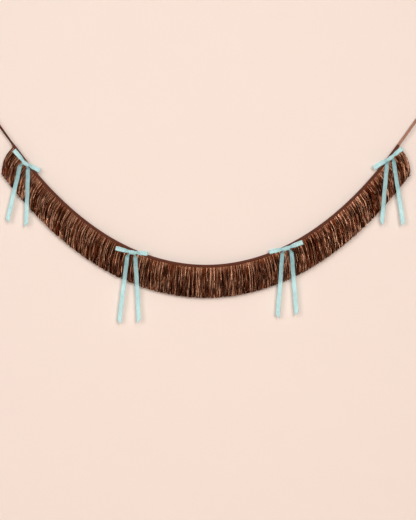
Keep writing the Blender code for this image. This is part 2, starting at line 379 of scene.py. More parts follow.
class WovenRibbon(EffectGroup):
    """Satin weave: ribs across, warp threads along, a firm selvedge, a broad mottle of painted sheen and
    shade, creases with painted shade near knots, and a seam.
    """

    name = "woven_ribbon"
    inputs = {
        "Colour": (0.5, 0.5, 0.5, 1.0),
        "Deep Colour": (0.3, 0.3, 0.3, 1.0),
        "Width": 0.016,
        "Rib Pitch": 0.00045,
        "Warp Pitch": 0.0004,
        "Selvedge": 0.0009,
        "Weave Depth": 1.0,
        "Crush Reach": 0.05,
        "Roughness": 0.4,
        "Seam Place": 0.0109,
        "Seam Pitch": 0.0034,
        "Seam Width": 0.0009,
        "Seam Depth": 0.0,
    }

    def draw(self, sheet: NodeSheet, taken: dict[str, Wire]) -> dict[str, Wire]:
        """Draw the weave.

        Args:
            sheet: the group's sheet.
            taken: the group's inputs.

        Returns:
            What each output gives.
        """
        place = sheet.attribute(PLACE, "Vector")
        split = sheet.add("ShaderNodeSeparateXYZ", {0: place})
        along, across, away = (Wire(sheet, socket) for socket in split.outputs)
        rib, warp = along.beat("SINE", taken["Rib Pitch"]), across.beat("SINE", taken["Warp Pitch"])
        selvedge = 1.0 - ((taken["Width"] / 2.0 - abs(across)) / taken["Selvedge"]).held()
        # how near a knot the cloth is: it sets the creases' relief and their painted shade
        crease_and_shade = (1.0 - away / taken["Crush Reach"]).held()
        creases = sheet.noise(sheet.drawn(place, (0.45, 1.0, 0.0)), 260.0, 3.0)
        streak = sheet.noise(sheet.drawn(place, (0.1, 1.0, 0.0)), 420.0, 2.0)
        thread, broad_sheen_mottle = sheet.noise(place, 900.0, 2.0), sheet.noise(place, 38.0, 3.0)

        # painted sheen and shade: a broad random mottle adds to the deep share, beside the thread, streak and
        # weave tones
        deep = (thread + streak - 1.0) * 0.5 + (broad_sheen_mottle - 0.46) * 1.5 + rib * 0.06 + warp * 0.05
        # painted shade: the colour darkens in and between the creases near a knot, and down the upper part of
        # a tail
        share = selvedge * 0.3 + sheet.math("MAXIMUM", deep, 0.0) + crease_and_shade * (creases * 1.1 + 0.15)

        off_seam = ((abs(across) - taken["Seam Place"]) / taken["Seam Width"]) ** 2.0
        near_seam = sheet.math("EXPONENT", off_seam * -1.0)
        seam = (along.beat("COSINE", taken["Seam Pitch"]) - 1.0) * taken["Seam Depth"] * near_seam
        folds = creases * crease_and_shade**3.0 * 18.0
        relief = rib * 0.12 + warp * 0.15 + selvedge * 1.2 + thread * 0.6 + folds + seam
        return {
            "Colour": sheet.mix(share, taken["Colour"], taken["Deep Colour"]),
            "Roughness": taken["Roughness"] + (thread - 0.5) * 0.16 + selvedge * 0.1,
            "Height": relief * taken["Weave Depth"],
        }


class CrinkledFilm(EffectGroup):
    """Foil film: each strip mixed towards a pale colour by its own share, as painted glints, and crinkled
    along its length.
    """

    name = "crinkled_film"
    inputs = {
        "Colour": (0.1, 0.05, 0.03, 1.0),
        "Pale Colour": (0.2, 0.1, 0.07, 1.0),
        "Crinkle Scale": 140.0,
        "Crinkle Depth": 1.0,
        "Roughness": 0.25,
    }

    def draw(self, sheet: NodeSheet, taken: dict[str, Wire]) -> dict[str, Wire]:
        """Draw the film.

        Args:
            sheet: the group's sheet.
            taken: the group's inputs.

        Returns:
            What each output gives.
        """
        place = sheet.coordinates()
        fine = sheet.noise(sheet.drawn(place, (1.0, 1.0, 0.14)), taken["Crinkle Scale"], 3.0)
        # painted glints: the strip's own share of the pale colour, with a broad noise over it
        glint_share = sheet.attribute(GLINT_SHARE, "Fac") + (sheet.noise(place, 24.0, 1.0) - 0.58) * 0.6
        return {
            "Colour": sheet.mix(glint_share, taken["Colour"], taken["Pale Colour"]),
            "Roughness": taken["Roughness"] + (fine - 0.5) * 0.3,
            "Height": fine * taken["Crinkle Depth"],
        }


# ---- Finishes ----


def fresh_material(name: str) -> tuple[Material, NodeSheet, Node]:
    """A material with its Principled shader in place.

    Args:
        name: the material's name.

    Returns:
        The material, its node sheet and its Principled node.
    """
    made = bpy.data.materials.new(name)
    made.use_nodes = True
    return made, NodeSheet(made.node_tree), made.node_tree.nodes["Principled BSDF"]


def effect_material(
    name: str, effect: EffectGroup, values: dict[str, object], relief: float, constants: dict[str, object]
) -> Material:
    """A material whose colour, roughness and relief come from an effect group.

    Args:
        name: the material's name.
        effect: the effect group.
        values: the group's own values for this material.
        relief: the bump's distance, in metres.
        constants: the shader's own values.

    Returns:
        The finished material.
    """
    made, sheet, shader = fresh_material(name)
    group = sheet.add("ShaderNodeGroup", node_tree=effect.tree)
    sheet.feed(group, values)
    height = group.outputs["Height"]
    bump = sheet.add("ShaderNodeBump", {"Distance": relief, "Strength": 1.0, "Height": height})
    sheet.feed(shader, constants)
    sheet.feed(shader, {"Base Color": group.outputs["Colour"], "Normal": bump.outputs["Normal"]})
    sheet.feed(shader, {"Roughness": group.outputs["Roughness"]})
    return made


@dataclass(frozen=True)
class SatinFinish:
    """Woven satin ribbon of one width and colour."""

    name: str
    colour: Colour
    deep_colour: Colour
    width: float
    roughness: float
    sheen: float
    gloss: float
    # how far from a knot the creases and their painted shade reach
    crush_reach: float = 0.05
    relief: float = 0.00006
    tint: Colour = WHITE
    seam: float = 0.0
    seen_through: float = 0.0
    light_reach: float = 0.002

    def build(self, weave: WovenRibbon) -> Material:
        """The material.

        Args:
            weave: the shared weave effect.

        Returns:
            The finished material.
        """
        values = {
            "Colour": self.colour,
            "Deep Colour": self.deep_colour,
            "Width": self.width,
            "Crush Reach": self.crush_reach,
            "Roughness": self.roughness,
            "Seam Depth": self.seam,
        }
        constants = {
            "Specular IOR Level": self.gloss,
            "Specular Tint": self.tint,
            "Sheen Weight": self.sheen,
            "Sheen Roughness": 0.35,
            "Subsurface Weight": self.seen_through,
            "Subsurface Radius": (1.0, 1.0, 1.0),
            "Subsurface Scale": self.light_reach,
            "Anisotropic": 0.5,
        }
        return effect_material(self.name, weave, values, self.relief, constants)


@dataclass(frozen=True)
class FoilFinish:
    """Metallised plastic film, cut into strips."""

    name: str
    colour: Colour
    pale_colour: Colour
    roughness: float
    relief: float = 0.0004
    tint: Colour = COPPER

    def build(self, film: CrinkledFilm) -> Material:
        """The material.

        Args:
            film: the shared crinkle effect.

        Returns:
            The finished material.
        """
        values = {"Colour": self.colour, "Pale Colour": self.pale_colour, "Roughness": self.roughness}
        constants = {"Metallic": 1.0, "Specular Tint": self.tint}
        return effect_material(self.name, film, values, self.relief, constants)


@dataclass(frozen=True)
class WallFinish:
    """Matt painted wall, which isn't seen from behind and lets the lamps behind it through."""

    name: str
    colour: Colour
    darkest_share: float = 0.985
    grain_scale: float = 6.0

    def build(self) -> Material:
        """The material.

        Returns:
            The finished material.
        """
        made, sheet, shader = fresh_material(self.name)
        darker = tuple(self.darkest_share * part for part in self.colour[:3]) + (1.0,)
        shade = sheet.mix(sheet.noise(sheet.coordinates(), self.grain_scale, 2.0), self.colour, darker)
        sheet.feed(shader, {"Base Color": shade, "Roughness": 0.9, "Specular IOR Level": 0.1})
        behind = sheet.add("ShaderNodeNewGeometry").outputs["Backfacing"]
        shadow = sheet.add("ShaderNodeLightPath").outputs["Is Shadow Ray"]
        clear = sheet.add("ShaderNodeBsdfTransparent")
        output = made.node_tree.nodes["Material Output"]
        sheet.choose(sheet.math("MAXIMUM", behind, shadow), shader, clear, output)
        return made


@dataclass
class Finishes:
    """Every material of the banner, built once."""

    weave: WovenRibbon = field(default_factory=WovenRibbon)
    film: CrinkledFilm = field(default_factory=CrinkledFilm)
    blue_width: float = 0.0165
    blue_seen_through: float = 0.6

    def __post_init__(self) -> None:
        """Build the finishes."""
        brown, deep_brown = (0.088, 0.017, 0.003, 1.0), (0.040, 0.0075, 0.0015, 1.0)
        # the ties' and hanging loops' copy of the brown satin is darker than the tape's: painted shade
        tie, deep_shaded_tie = (0.058, 0.014, 0.005, 1.0), (0.030, 0.007, 0.002, 1.0)
        blue, deep_blue = (0.44, 0.74, 0.75, 1.0), (0.24, 0.45, 0.47, 1.0)
        # the tails' copy of the blue satin is darker than the loops': painted shade on a single layer of
        # cloth
        tail, deep_shaded_tail = (0.32, 0.55, 0.56, 1.0), (0.17, 0.33, 0.35, 1.0)
        # foil: the film's dark colour, and a pale colour painted as glints
        foil, glint_foil = (0.021, 0.0044, 0.0014, 1.0), (0.180, 0.094, 0.058, 1.0)
        thread = (0.30, 0.13, 0.08, 1.0)
        wide, narrow, lit = self.blue_width, SWAG.tie_width, self.blue_seen_through
        satins = (
            SatinFinish("brown_satin_tape", brown, deep_brown, 0.025, 0.5, 0.02, 0.12, seam=2.0),
            SatinFinish("brown_satin_tie", tie, deep_shaded_tie, narrow, 0.27, 0.0, 0.5, tint=COPPER),
            SatinFinish("brown_satin_loop", tie, deep_shaded_tie, narrow, 0.6, 0.0, 0.05),
            SatinFinish("pale_blue_satin", blue, deep_blue, wide, 0.40, 0.2, 0.5, 0.026, seen_through=lit),
            # on the tails the painted shade of the creases reaches 0.16 m down from the knot
            SatinFinish("pale_blue_tail", tail, deep_shaded_tail, wide, 0.42, 0.15, 0.45, 0.16, seen_through=lit),
            SatinFinish("brown_thread", thread, brown, 0.001, 0.5, 0.1, 0.4),
        )
        built = (satin.build(self.weave) for satin in satins)
        self.tape, self.tie, self.loop, self.bow, self.tail, self.thread = built
        self.foil = FoilFinish("chocolate_foil", foil, glint_foil, 0.22).build(self.film)


# ---- Laying cloth and strips ----


def quads(rows: int, columns: int) -> Array:
    """The faces of a grid of corners, as rows of corner numbers."""
    corner = (np.arange(rows)[:, None] * (columns + 1) + np.arange(columns)).ravel()
    return np.stack([corner, corner + 1, corner + columns + 2, corner + columns + 1], axis=1)


@dataclass
class Cut:
    """A flat strip as it was cut, and how finely it is drawn. Knots are the places that crush it, where its
    creases and their painted shade gather.
    """

    width: float
    length: float
    rows: int
    columns: int
    knots: tuple[float, ...] = ()

    @property
    def grid(self) -> tuple[Array, Array]:
        """Its corners, as shares of the length, from 0 to 1, and of the width, from -0.5 to 0.5."""
        along, across = np.linspace(0, 1, self.rows + 1), np.linspace(-0.5, 0.5, self.columns + 1)
        return np.repeat(along, self.columns + 1), np.tile(across, self.rows + 1)

    def lay(self, name: str, points: Array, finish: Material, thickness: float = 0.0) -> Piece:
        """Make the strip's piece.

        Args:
            name: the piece's name.
            points: where its corners come to lie.
            finish: its material.
            thickness: the cloth's thickness, or nothing for film.

        Returns:
            The piece.
        """
        along, across = self.grid
        away = np.min([np.abs(along - knot) * self.length for knot in self.knots] or [1 + 0 * along], axis=0)
        cloth = np.stack([along * self.length, across * self.width, away], axis=1)
        piece = mesh_piece(name, points, quads(self.rows, self.columns), finish, cloth)
        if thickness:
            solid = piece.modifiers.new("cloth_thickness", "SOLIDIFY")
            solid.thickness = thickness
            solid.offset = 0.0
        return piece


def put_in_scene(name: str, data: bpy.types.ID) -> Piece:
    """A new object in the scene.

    Args:
        name: its name.
        data: its mesh, light or camera.

    Returns:
        The object.
    """
    made = bpy.data.objects.new(name, data)
    bpy.context.scene.collection.objects.link(made)
    return made


def mesh_piece(name: str, points: Array, faces: Array, finish: Material, cloth: Array | None = None) -> Piece:
    """A smooth mesh piece, which is logged.

    Args:
        name: the piece's name.
        points: its corners, one row each.
        faces: its faces, as rows of corner numbers.
        finish: its material.
        cloth: where each corner lies on the flat cloth, and how far from a knot.

    Returns:
        The piece, linked into the scene.
    """
    mesh = bpy.data.meshes.new(name)
    mesh.from_pydata(points.tolist(), [], faces.tolist())
    if cloth is not None:
        places = mesh.attributes.new(PLACE, "FLOAT_VECTOR", "POINT").data
        places.foreach_set("vector", cloth.astype(np.float32).ravel())
    mesh.polygons.foreach_set("use_smooth", np.ones(len(faces), bool))
    mesh.materials.append(finish)
    mesh.update()
    LOG.info("%s: %d faces", name, len(faces))
    return put_in_scene(name, mesh)


def set_out(root: Array, way: Array, out: Array, up: Array, back: Array) -> Array:
    """Points set out from a root.

    Args:
        root: the root.
        way: a direction in the wall plane.
        out: distances in that direction.
        up: distances square to it in the wall plane, to its left.
        back: distances behind the root.

    Returns:
        The points, one row each.
    """
    up_way = np.array([-way[2], 0.0, way[0]])
    return root + np.outer(out, way) + np.outer(up, up_way) + np.outer(back, BACKWARD)


def loop_line(along: Array, length: float, spread: float, gap: float, power: float) -> tuple[Array, Array]:
    """The middle line of a closed ribbon loop.

    Args:
        along: shares of the ribbon.
        length: how far out the loop reaches.
        spread: how far its halves stand apart.
        gap: how far apart its ends are.
        power: how slowly it opens from its root.

    Returns:
        How far out from the root and how far aside the line is.
    """
    turn = math.tau * along
    aside = spread * np.sin(turn) * np.abs(np.sin(turn / 2)) ** power + gap / 2 * np.cos(turn / 2)
    return length * (1 - np.cos(turn)) / 2, aside


def line_length(*line: Array) -> float:
    """The length of a line with these coordinates."""
    return float(np.linalg.norm(np.diff(np.stack(line, axis=1), axis=0), axis=1).sum())


@dataclass(frozen=True)
class Waves:
    """A sum of sine waves, between about -1 and 1."""

    rates: Array
    phases: Array
    weights: Array

    def __call__(self, place: Array) -> Array:
        """The sum's height at these places."""
        turns = self.rates * np.asarray(place)[..., None]
        return (np.sin(math.tau * turns + self.phases) * self.weights).sum(axis=-1)


def locks(seed: int, shortest: float, longest: float) -> Waves:
    """Waves along the whole swag that gather neighbouring strips into locks.

    Args:
        seed: their own random seed.
        shortest: the shortest period, in metres.
        longest: the longest period, in metres.

    Returns:
        The waves, by the distance from the swag's middle.
    """
    chance = np.random.default_rng(seed)
    return Waves(1 / chance.uniform(shortest, longest, 5), chance.uniform(0, math.tau, 5), np.full(5, 0.32))


LOCK_TURN = locks(31, 0.005, 0.014)
LOCK_DEPTH = locks(32, 0.006, 0.016)
LOCK_PULL = locks(33, 0.008, 0.014)
# locks that group the painted glint streaks
LOCK_GLINT = locks(34, 0.005, 0.014)
LOCK_HEM = locks(35, 0.009, 0.026)


def wobble(chance: Chance, count: float) -> Waves:
    """Smooth random waves with up to this many periods over 0 to 1."""
    return Waves(chance.uniform(0.5, count, 3), chance.uniform(0, math.tau, 3), np.array([0.5, 0.3, 0.2]))


# ---- The tape ----


@dataclass
class HeaderTape:
    """Ribbon folded lengthwise over the head of the foil and sewn through."""

    finishes: Finishes
    ribbon_width: float = 0.025
    cloth: float = 0.00035
    rows: int = 420
    columns: int = 20
    smooth_share: float = 0.2
    pucker: float = 0.00022
    stitch_pitch: float = 0.0034
    stitch_share: float = 0.68
    stitch_height: float = 0.0016
    stitch_radius: float = 0.00024
    stitch_sunk: float = 0.00005

    def section_of(self, across: Array) -> tuple[Array, Array]:
        """The folded profile: depth below the top edge and place front to back.

        Args:
            across: the ribbon's own width, from -0.5 at the front edge to 0.5 at the back one.

        Returns:
            The depths and the places.
        """
        wall = SWAG.tape_thickness / 2 - self.cloth / 2
        round_half = math.pi * wall / 2
        straight = self.ribbon_width / 2 - round_half
        run = across * self.ribbon_width
        turn = np.clip(run / wall, -math.pi / 2, math.pi / 2)
        depth = self.cloth / 2 + wall * (1 - np.cos(turn)) + np.clip(np.abs(run) - round_half, 0, straight)
        return depth, wall * np.sin(turn)

    def build(self) -> Piece:
        """The tape, a little puffed between its fold and its seam, and its stitches.

        Returns:
            The tape.
        """
        chance = np.random.default_rng(SEED)
        wave, ripple = wobble(chance, 23), wobble(chance, 61)
        cut = Cut(self.ribbon_width, SWAG.length, self.rows, self.columns)
        along, across = cut.grid
        depth, y = self.section_of(across)
        loose = 0.5 - self.smooth_share
        seam = (0.5 - self.stitch_height / self.ribbon_width - self.smooth_share) / loose
        free = np.clip((np.abs(across) - self.smooth_share) / loose, 0, 1)
        puff = np.sin(math.pi * np.clip(free / seam, 0, 1))
        bulge = self.pucker * (1.1 * wave(along) + 0.8 * ripple(along) + 1.0) * puff
        points = SWAG.point((2 * along - 1) * SWAG.half, depth, y + np.sign(y) * bulge)
        tape = cut.lay("folded_tape", points, self.finishes.tape, self.cloth)
        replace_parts(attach(tape, "swag"), "header_tape")
        self.stitches()
        return tape

    def stitches(self) -> None:
        """The seam along the foot of the tape: a small lozenge of thread for each stitch, on both faces."""
        count = int(SWAG.length / self.stitch_pitch)
        reach, radius, sunk = self.stitch_pitch * self.stitch_share / 2, self.stitch_radius, self.stitch_sunk
        arc = (np.arange(count)[:, None] + 0.5) * self.stitch_pitch - SWAG.half
        arc = arc + reach * np.array([-1, 0, 0, 0, 0, 1])
        depth = SWAG.tape_depth - self.stitch_height + radius * np.array([0, 0, 1, 0, -1, 0])
        lift = np.array([-sunk, 1.7 * radius, 0.7 * radius, -0.3 * radius, 0.7 * radius, -sunk])
        points = [SWAG.point(arc, depth, side * (SWAG.tape_thickness / 2 + lift)) for side in (-1, 1)]
        ring = [(1 + step, 1 + (step + 1) % 4) for step in range(4)]
        lozenge = np.array([face for near, far in ring for face in ((0, near, far), (5, far, near))])
        faces = lozenge + 6 * np.arange(2 * count)[:, None, None]
        thread = [np.stack([arc, 0 * arc, 1 + 0 * arc], axis=-1)] * 2
        points, faces, thread = (np.array(rows).reshape(-1, 3) for rows in (points, faces, thread))
        seam = mesh_piece("tape_stitches", points, faces, self.finishes.thread, thread)
        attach(seam, "swag")


# ---- The fringe ----


@dataclass
class Strips:
    """The strips of one comb: a row for each strip, a column for each place down it."""

    arc: Array
    layer_share: Array
    run: Array
    fall: Array
    way: Array

    @property
    def total(self) -> int:
        """How many strips there are."""
        return len(self.arc)

    @property
    def side(self) -> Array:
        """The direction across each strip, along the tape."""
        return np.stack([-self.way[:, 2], 0 * self.arc, self.way[:, 0]], axis=-1)

    def waves(self, chance: Chance, turns: tuple[float, float], size: Array | float) -> Array:
        """Random waves down each strip.

        Args:
            chance: the seeded random source.
            turns: the fewest and most periods.
            size: each strip's amplitude.

        Returns:
            The wave's height for each strip and row.
        """
        periods = chance.uniform(*turns, self.total)[:, None]
        phase = chance.uniform(0, math.tau, self.total)[:, None]
        return np.broadcast_to(size, self.total)[:, None] * np.sin(math.tau * periods * self.fall + phase)


@dataclass
class FringeSection:
    """One comb of foil strips, in layers, hanging from where it leaves the tape."""

    finishes: Finishes
    number: int
    drop: float = 0.130
    hinge: float = SWAG.tape_depth + 0.003
    lean_share: float = 0.39
    curl_share: float = 0.80
    gap: float = 0.0006
    end_gap: float = 0.007
    root_depth: float = 0.0085
    strip_width: float = 0.0021
    strip_pitch: float = 0.00205
    layers: int = 5
    rows: int = 13
    root_spread: float = 0.0006
    hem_spread: float = 0.0034
    lip: float = 0.0009
    lip_place: float = 0.0009
    lip_reach: float = 0.0023
    sway: float = 0.0017
    ripple: float = 0.0005
    bow_out: float = 0.0008
    lock_pull: float = 0.0011
    lock_sink: float = 0.0009
    twist: float = 0.75
    crease: float = 0.00035
    ragged: float = 0.0040
    torn: float = 0.012
    tuft_step: float = 0.0036
    count: int = 20

    @property
    def body(self) -> str:
        """The body and node that this comb stands for."""
        return f"fringe_section_{self.number:02d}"

    @property
    def start(self) -> float:
        """Where the comb begins along the tape."""
        return (self.number - 1) * SWAG.length / self.count - SWAG.half

    @property
    def span(self) -> tuple[float, float]:
        """Where the strips hang along the tape, whose ends belong to the ties' tucks.

        Returns:
            Where the first and the last one hang.
        """
        near = self.end_gap if self.number == 1 else self.gap
        far = self.end_gap if self.number == self.count else self.gap
        return self.start + near, self.start + SWAG.length / self.count - far

    @property
    def disorder(self) -> float:
        """How ruffled the strips are: more towards the banner's right end, a little more at its left."""
        return 1.35 if self.number == 1 else 1.0 + 0.75 * float(smooth(np.array((self.number - 12) / 8)))

    def planted(self, chance: Chance) -> Strips:
        """Set the strips along the tape in layers, and cut them to length.

        Args:
            chance: the comb's random source.

        Returns:
            The strips, each hanging between plumb and square to the tape.
        """
        low, high = self.span
        each = int(round((high - low) / self.strip_pitch))
        total = each * self.layers
        layer = np.repeat(np.arange(self.layers), each)
        step = np.tile(np.arange(each), self.layers)
        place = (step + 0.5 + 0.35 * chance.uniform(-1, 1, total) + 0.5 * (layer % 2 - 0.5)) / each
        arc = low + (high - low) * np.clip(place, 0, 1)
        layer_share = (2 * layer / (self.layers - 1) - 1) + chance.uniform(-0.12, 0.12, total)
        upright = np.cos((1 - self.lean_share) * SWAG.slope(arc))
        up = (self.hinge - self.root_depth) / upright
        short = np.where(chance.uniform(0, 1, total) > 0.93, chance.uniform(0, self.torn, total), 0.0)
        short = short + self.tuft_step * self.disorder**2 * smooth(LOCK_HEM(arc))
        down = self.drop - self.hinge / upright - self.ragged * chance.uniform(0, 1, total) ** 1.5 - short
        run = -up[:, None] + (up + down)[:, None] * np.linspace(0, 1, self.rows + 1) ** 1.15
        lean = self.lean_share * SWAG.slope(arc)
        way = np.stack([np.sin(lean), 0 * lean, -np.cos(lean)], axis=-1)
        return Strips(arc, layer_share, run, np.clip(run / (self.drop - self.hinge), 0, 1), way)

    def lines(self, chance: Chance, strips: Strips) -> Array:
        """The strips' middle lines, ruffled and gathered into locks.

        Args:
            chance: the comb's random source.
            strips: the strips.

        Returns:
            The points of each line.
        """
        arc, fall, run, total = strips.arc, strips.fall, strips.run, strips.total
        wild = np.where(chance.uniform(0, 1, total) < 0.09 * self.disorder, 2.6, 1.0) * self.disorder
        aside = strips.waves(chance, (0.35, 1.6), self.sway * wild) * fall**0.8
        aside += strips.waves(chance, (2.0, 6.0), self.ripple * wild) * fall**0.5
        aside += self.lock_pull * LOCK_PULL(arc)[:, None] * fall**1.5
        curl = (1 - (1 - fall) ** 3 - fall) / 3
        aside += (self.curl_share * self.drop * SWAG.slope(arc))[:, None] * curl
        bent = strips.waves(chance, (0.6, 2.6), self.bow_out) * fall
        eased = smooth(fall * 6) * 0.25 + fall * 0.75
        face = np.sign(strips.layer_share)[:, None]
        spread = self.root_spread + (self.hem_spread - self.root_spread) * eased
        across = strips.layer_share[:, None] * spread
        lip = self.lip * face * np.exp(-(((run - self.lip_place) / self.lip_reach) ** 2))
        sunk = self.lock_sink * LOCK_DEPTH(arc)[:, None] * smooth(fall * 3) * face
        root = SWAG.point(arc, np.full(total, self.hinge), np.zeros(total))
        centre = root[:, None] + run[..., None] * strips.way[:, None]
        centre = centre + aside[..., None] * strips.side[:, None]
        centre[..., 1] += across + bent + sunk + lip * (np.abs(strips.layer_share)[:, None] > 0.4)
        return centre

    def widths(self, chance: Chance, strips: Strips) -> Array:
        """The direction of each strip's own width, which twists on the way down.

        Args:
            chance: the comb's random source.
            strips: the strips.

        Returns:
            The direction at each place.
        """
        turned = 0.55 * self.twist * chance.uniform(-1, 1, strips.total)[:, None]
        turned = turned + 0.5 * LOCK_TURN(strips.arc)[:, None]
        turned = turned + strips.waves(chance, (0.3, 1.3), 0.42)
        turned = turned * (0.2 + 0.8 * smooth((strips.fall - 0.01) * 5))
        return np.cos(turned)[..., None] * strips.side[:, None] + np.sin(turned)[..., None] * BACKWARD

    def build(self) -> Piece:
        """The comb, each strip two faces wide and creased along its middle.

        Returns:
            The piece.
        """
        chance = np.random.default_rng(SEED * 100 + self.number)
        strips = self.planted(chance)
        total = strips.total
        centre, flat = self.lines(chance, strips), self.widths(chance, strips)
        fold = chance.uniform(-1, 1, total)[:, None, None] * self.crease * np.cross(flat, strips.way[:, None])
        half = self.strip_width / 2 * chance.uniform(0.75, 1.1, total)[:, None, None]
        points = np.stack([centre - half * flat, centre + fold, centre + half * flat], axis=2)
        faces = (quads(self.rows, 2) + 3 * (self.rows + 1) * np.arange(total)[:, None, None]).reshape(-1, 4)
        piece = mesh_piece(f"foil_fringe_{self.number:02d}", points.reshape(-1, 3), faces, self.finishes.foil)
        # painted glints: pale streaks on single strips and on locks of neighbours
        shade = 0.7 * chance.uniform(0, 1, total) ** 3.5 + 0.55 * smooth((LOCK_GLINT(strips.arc) - 0.2) / 0.7)
        # painted shade: each strip's glint share is lower in its top quarter, just below the tape
        shade = np.clip(shade, 0, 1)[:, None] * (0.8 + 0.2 * smooth((strips.fall - 0.02) * 4))
        shade = np.repeat(shade.ravel(), 3).astype(np.float32)
        piece.data.attributes.new(GLINT_SHARE, "FLOAT", "POINT").data.foreach_set("value", shade)
        self.hang(piece)
        return piece

    def hang(self, piece: Piece) -> None:
        """Hide the solid that the comb stands for, and bake the comb's place into its mesh.

        Args:
            piece: the comb.
        """
        middle = self.start + SWAG.length / self.count / 2
        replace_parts(piece, self.body)
        SWAG.point(middle, SWAG.tape_depth, 0.0).tolist()
        SWAG.point(middle, SWAG.tape_depth + BEND, 0.0).tolist()
        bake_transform(piece)


@dataclass
class FoilHead:
    """The uncut strip of foil inside the tape."""

    finishes: Finishes
    tuck: float = 0.012
    margin: float = 0.0012
    ripple: float = 0.0003
    ripple_pitch: float = 0.021

    def build(self) -> None:
        """The head, a thin rippled sheet between the tape's walls."""
        reach, height = SWAG.half - self.tuck - SWAG.clearance, SWAG.tape_depth - self.margin
        cut = Cut(height, 2 * reach, 240, 3)
        along, across = cut.grid
        arc, depth = (2 * along - 1) * reach, self.margin + (0.5 - across) * height
        points = SWAG.point(arc, depth, self.ripple * np.sin(math.tau * arc / self.ripple_pitch))
        head = cut.lay("foil_head", points, self.finishes.foil)
        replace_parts(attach(head, "swag"), "fringe_head")


# ---- The hanging ends ----


@dataclass
class HangingEnd:
    """One tie, its overhand knot and the loop that goes over a hook."""

    finishes: Finishes
    side: Hand
    tuck: float = 0.012
    cloth: float = 0.0003
    spread: float = 0.0165
    root_gap: float = 0.0012
    root_sunk: float = 0.002
    turns: tuple[float, float] = (0.5, 0.03)
    cup: float = 0.0002
    loop_tilt: float = 0.3
    bend: float = 0.03
    knot_size: tuple[float, float, float] = (0.0094, 0.0076, 0.0074)
    knot_turns: float = 2.25
    knot_cut: float = 0.05

    @property
    def way(self) -> Array:
        """The direction in which this end runs away from the tape."""
        return SWAG.outward(self.side)

    @property
    def centre(self) -> Array:
        """The knot's middle."""
        return SWAG.knot_centre(self.side)

    def build(self) -> None:
        """The tie, the loop and the knot."""
        self.tie()
        loop, length = self.loop()
        knot = self.knot()

    def tie(self) -> None:
        """The ribbon from the tape's end up to the knot, with a slow twist."""
        length, word = SWAG.tie_length + self.tuck + SWAG.knot_reach, self.side.word
        cut = Cut(SWAG.tie_width, length, 60, 6)
        along, across = cut.grid
        run = along * length
        free = smooth((run - self.tuck) / 0.012) * smooth((1 - along) * length / 0.03)
        angle = self.turns[self.side.index] * free * (1 + 0.25 * np.sin(math.tau * 1.3 * along))
        offset = across * SWAG.tie_width * (1 - 0.45 * smooth((run - length + 0.014) / 0.012))
        cup = self.cup * (4 * across**2 - 0.5) * free
        start, below = self.centre - length * self.way, self.centre - self.bend * self.way
        points = set_out(start, self.way, run, offset * np.cos(angle), offset * np.sin(angle) + cup)
        tie = cut.lay(f"{word}_satin_tie", points, self.finishes.tie, self.cloth)
        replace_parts(tie, f"{word}_tie")
        self.centre.tolist()
        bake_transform(tie)

    def loop(self) -> tuple[Piece, float]:
        """The closed loop beyond the knot, its width along Y and drawn in at the knot.

        Returns:
            The piece and the length of ribbon in it.
        """

        def middle(along: Array) -> tuple[Array, Array]:
            """The loop's own line, whose ends sink into the knot."""
            out, aside = loop_line(along, SWAG.loop_length, self.spread, self.root_gap, 1.0)
            return out - self.root_sunk * (1 - smooth(np.minimum(along, 1 - along) / 0.04)), aside

        length = line_length(*middle(np.linspace(0, 1, 200)))
        cut = Cut(SWAG.tie_width, length, 72, 4)
        along, across = cut.grid
        out, aside = middle(along)
        offset = across * SWAG.tie_width * (0.6 + 0.4 * smooth(np.minimum(along, 1 - along) / 0.16))
        aside = aside + offset * self.loop_tilt * np.sin(math.tau * along)
        points = set_out(self.centre + SWAG.knot_reach * self.way, self.way, out, aside, offset)
        loop = cut.lay(f"{self.side.word}_ribbon_loop", points, self.finishes.loop, self.cloth)
        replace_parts(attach(loop, "hangers"), f"{self.side.word}_hanging_loop")
        return loop, length

    def knot(self) -> Piece:
        """The overhand knot: turns of the ribbon wound tight round its own standing part.

        Returns:
            The piece.
        """
        long, deep, high = self.knot_size
        cut = Cut(long, self.knot_cut, 84, 12)
        along, across = cut.grid
        turn = math.tau * self.knot_turns * along
        swell = 1 + 0.10 * np.sin(2 * turn + 6 * across)
        belly = np.sqrt(np.clip(1 - (1.5 * across) ** 2, 0.15, 1))
        pleat = 1 + 0.05 * np.cos(math.tau * 3 * across)
        radius = 0.5 * belly * swell * pleat * (0.86 + 0.14 * along)
        reach = (across + 0.08 * np.sin(turn + 0.6)) * long
        up, back = radius * high * np.cos(turn), radius * deep * np.sin(turn)
        points = set_out(self.centre, self.way, reach, up, back)
        knot = cut.lay(f"{self.side.word}_ribbon_knot", points, self.finishes.tie, self.cloth)
        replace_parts(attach(knot, "hangers"), f"{self.side.word}_hanging_knot")
        return knot


# ---- The bows ----


@dataclass(frozen=True)
class BowSizes:
    """The sizes that every bow shares."""

    ribbon_width: float = 0.0165
    cloth: float = 0.00035
    knot: tuple[float, float, float] = (0.034, 0.0064, 0.0155)
    knot_cut: float = 0.044
    root_gap: float = 0.0012
    loop_length: float = 0.050
    loop_spread: float = 0.0034
    loop_sunk: float = 0.004
    loop_pleat: float = 0.0006
    loop_rumple: float = 0.00035
    loop_cup: float = 0.0007
    loop_neck_share: float = 0.72
    tail_length: float = 0.250
    tail_start: tuple[float, float] = (0.27, 0.16)
    tail_slant: float = 0.015
    tail_fold: float = 0.020
    tail_sunk: float = 0.0030
    tail_gather: float = 0.0007
    tail_wave: float = 0.0016
    tail_cup: float = 0.0006
    tail_stray: float = 0.0006
    tail_neck_share: float = 0.42


